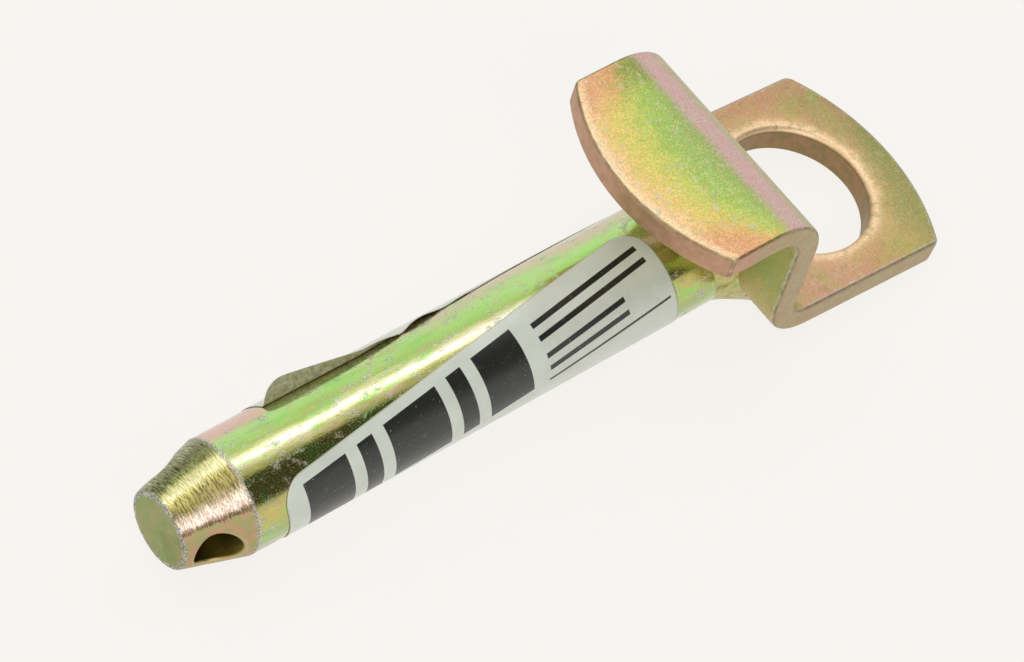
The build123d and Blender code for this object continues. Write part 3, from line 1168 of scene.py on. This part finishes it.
    def _lay(self, g: Graph, along: Field, across: Field, height: Field) -> Socket:
        """Lays a place on the label round the shank: stuck, then creased, then loose.

        Args:
            g: The tree.
            along: Place along the label.
            across: Place across it.
            height: The label's height.

        Returns:
            The place in the row's frame, in metres.
        """
        skew = math.radians(self.skew)
        radius = self.shank_radius
        loose_edge_x = self.corner_x + self.height * math.sin(skew)
        x = along * math.cos(skew) + across * math.sin(skew) + self.corner_x
        start = radius * math.radians(self.start_angle)
        arc = across * math.cos(skew) - along * math.sin(skew) + start
        last = height / math.cos(skew) + start - (x - self.corner_x) * math.tan(skew)
        run = x - loose_edge_x

        slack = g.ease(run, self.crease_run - self.fade / 2, self.crease_run + self.fade / 2)
        leave = slack * (radius * math.radians(self.ripple_angle - self.crease_angle))
        leave = g.least(leave + radius * math.radians(self.crease_angle), last - 1.5 * self.crease_length)
        peel = g.cos(g.part(run / self.crease_run) * (math.pi / 2))
        peel = g.most(peel, 0.0) ** 0.6 * math.radians(self.crease_bend)
        wave = g.cos((run - 1.2 * self.crease_run) * (2 * math.pi / self.ripple_pitch))
        rippled = g.ease(run, self.crease_run - self.fade, self.crease_run)
        wave = wave * math.radians(self.ripple_bend) * rippled
        grip = g.ease(run, self.loose_run - self.fade, self.loose_run)
        bend = (peel + wave) * (1.0 - grip)

        angle = g.least(arc, leave) / radius
        free = g.most(arc - leave, 0.0)
        creased = g.least(free, self.crease_length)
        y, z = g.cos(angle) * radius, g.sin(angle) * radius
        heading = angle + math.pi / 2
        hug = grip / radius
        for curvature, length in ((hug - bend / self.crease_length, creased), (hug, free - creased)):
            turn = curvature * length
            half = g.most(abs(turn) / 2.0, self.least_turn)
            chord = length * g.sin(half) / half
            way = heading + turn / 2.0
            y = y + chord * g.cos(way)
            z = z + chord * g.sin(way)
            heading = heading + turn
        cosine, sine = math.cos(REST.angle), math.sin(REST.angle)
        return g.vector(x * MM, (y * cosine - z * sine) * MM, (y * sine + z * cosine) * MM)


@dataclass(frozen=True)
class SoftBox:
    """A rectangular lamp that hangs beside the part. Sizes in metres, power in watts."""

    name: str
    way: tuple[float, float, float]
    along: tuple[float, float, float]
    distance: float
    length: float
    width: float
    power: float

    def hang(self, target: Vector) -> None:
        """Hangs the lamp, its length the way that "along" points.

        Args:
            target: The point that it lights.
        """
        data = bpy.data.lights.new(self.name, "AREA")
        data.shape = "RECTANGLE"
        data.size, data.size_y = self.length, self.width
        data.energy = self.power
        lamp = bpy.data.objects.new(self.name, data)
        show(lamp)
        back = Vector(self.way).normalized()
        run = Vector(self.along)
        side = (run - back * run.dot(back)).normalized()
        turned = Matrix((side, back.cross(side), back)).transposed().to_4x4()
        lamp.matrix_world = Matrix.Translation(target + back * self.distance) @ turned


@dataclass(frozen=True)
class DarkCard:
    """A round dark card far off, which only the metal mirrors."""

    way: tuple[float, float, float]
    reach: float  # degrees from its middle to its rim
    soft: float = 4.0  # degrees
    depth: float = 0.93

    def shade(self, s: Shading, way: Socket) -> Field:
        """How much of the background the card hides.

        Args:
            s: The world's tree.
            way: The direction looked in.

        Returns:
            0 off the card and its depth on it.
        """
        middle = tuple(Vector(self.way).normalized())
        facing = s.node("ShaderNodeVectorMath", {"operation": "DOT_PRODUCT"}, {0: way, 1: middle})
        rim, core = (math.cos(math.radians(angle)) for angle in (self.reach, self.reach - self.soft))
        return s.ease(Field(s, facing.outputs["Value"]), rim, core) * self.depth


@dataclass(frozen=True)
class Studio:
    """Pale floor, soft lamps and the camera. Angles in degrees, lengths in metres."""

    azimuth: float = -49.437
    elevation: float = 50.48
    roll: float = 13.56
    distance: float = 0.83278
    lens: float = 143.99
    target: tuple[float, float, float] = (0.0837, 0.00286, -0.00242)
    floor_colour: Colour = srgb(246, 244, 240)
    floor_glow: float = 0.88
    floor_strength: float = 1.045
    floor_size: float = 6.0
    floor_gap: float = 0.00002
    sky_light: Colour = (0.66, 0.66, 0.65, 1.0)
    card_colour: Colour = (0.02, 0.02, 0.016, 1.0)
    lamps: tuple[SoftBox, ...] = (
        SoftBox("overhead_box", (0.1, 0.27, 0.95), (0.913, -0.27, 0.065), 1.1, 2.4, 0.16, 2.3),
        SoftBox("front_box", (-0.35, -0.72, 0.6), (1.0, 0.0, 0.0), 1.3, 0.6, 0.6, 2.0),
    )
    cards: tuple[DarkCard, ...] = (
        DarkCard((0.483, -0.642, 0.596), 28.0),
        DarkCard((-0.45, 0.87, 0.2), 14.0),
        DarkCard((-0.93, -0.3, 0.2), 13.0),
        DarkCard((0.05, 0.98, 0.2), 13.0),
    )

    def build(self) -> None:
        """Sets the stage, the lamps and the camera."""
        low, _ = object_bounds()
        self._floor(low[2] - self.floor_gap)
        self._world()
        for lamp in self.lamps:
            lamp.hang(Vector(self.target))
        self._camera()
        bpy.context.scene.view_settings.view_transform = "Standard"

    @staticmethod
    def _rays(s: Shading) -> tuple[Field, Field]:
        """Sorts the rays that look at the background.

        Args:
            s: The tree that asks.

        Returns:
            1 for rays that show the plain background, and 1 for those that come from the camera.
        """
        path = s.node("ShaderNodeLightPath")
        camera = Field(s, path.outputs["Is Camera Ray"])
        glossy = Field(s, path.outputs["Is Glossy Ray"])
        through = Field(s, path.outputs["Is Transmission Ray"])
        return s.least(camera + glossy + through, 1.0), camera

    def _floor(self, height: float) -> None:
        """A wide pale floor that keeps a faint shadow.

        Args:
            height: Where it lies.
        """
        half = self.floor_size / 2
        rim = [(x * half, y * half, height) for x, y in ((-1, -1), (1, -1), (1, 1), (-1, 1))]
        mesh = bpy.data.meshes.new("floor")
        mesh.from_pydata(rim, [], [(0, 1, 2, 3)])
        floor = bpy.data.objects.new("floor", mesh)
        show(floor)
        material = bpy.data.materials.new("floor")
        s = Shading.of(material)
        shown, _ = self._rays(s)
        matt = s.node("ShaderNodeBsdfDiffuse", inputs={"Color": self.floor_colour})
        light = {"Color": self.floor_colour, "Strength": self.floor_strength}
        plain = s.node("ShaderNodeEmission", inputs=light)
        inputs = {0: shown * self.floor_glow, 1: matt.outputs[0], 2: plain.outputs[0]}
        mixed = s.node("ShaderNodeMixShader", inputs=inputs)
        s.node("ShaderNodeOutputMaterial", inputs={"Surface": mixed.outputs[0]})
        mesh.materials.append(material)
        floor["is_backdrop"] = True

    def _world(self) -> None:
        """Soft light from all round, with dark cards that the metal mirrors."""
        world = bpy.data.worlds.new("studio")
        bpy.context.scene.world = world
        s = Shading.of(world)
        way = s.node("ShaderNodeTexCoord").outputs["Generated"]
        shown, camera = self._rays(s)
        colour = s.mix(shown, self.sky_light, self.floor_colour)
        shade = reduce(s.most, (card.shade(s, way) for card in self.cards))
        colour = s.mix(shade * (1.0 - camera), colour, self.card_colour)
        sky = s.node("ShaderNodeBackground", inputs={"Color": colour, "Strength": 1.0})
        s.node("ShaderNodeOutputWorld", inputs={"Surface": sky.outputs[0]})

    def _camera(self) -> None:
        """Places the camera."""
        azimuth, elevation = math.radians(self.azimuth), math.radians(self.elevation)
        flat = math.cos(elevation)
        look = Vector((-math.sin(azimuth) * flat, math.cos(azimuth) * flat, -math.sin(elevation)))
        level = look.cross(Vector((0.0, 0.0, 1.0))).normalized()
        roll = math.radians(self.roll)
        right = level * math.cos(roll) + level.cross(look) * math.sin(roll)
        data = bpy.data.cameras.new("camera")
        data.lens = self.lens
        data.sensor_width = 36.0
        data.clip_start = 0.01
        data.dof.use_dof = False
        camera = bpy.data.objects.new("camera", data)
        show(camera)
        turned = Matrix((right, (-look).cross(right), -look)).transposed().to_4x4()
        camera.matrix_world = Matrix.Translation(Vector(self.target) - look * self.distance) @ turned
        bpy.context.scene.camera = camera


def main() -> None:
    """Builds the scene piece by piece and reports each piece."""
    logging.basicConfig(level=logging.INFO, format="%(name)s %(message)s")
    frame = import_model()
    metal = (
        ShankPiece("shank_metal", "pin_shank", "turned_zinc", TurnedZinc()),
        MetalPiece("handle_metal", "handle_plate", "plate_zinc", PlateZinc()),
        MetalPiece("weld_metal", "weld_fillet", "weld_zinc", WeldZinc()),
    )
    pieces = [part.build(frame["nodes"]) for part in metal]
    pieces.append(LabelFilm().build())
    for piece in pieces:
        LOG.info("%s: %d faces", piece.name, len(piece.data.polygons))
    Studio().build()


if __name__ == "__main__":
    main()
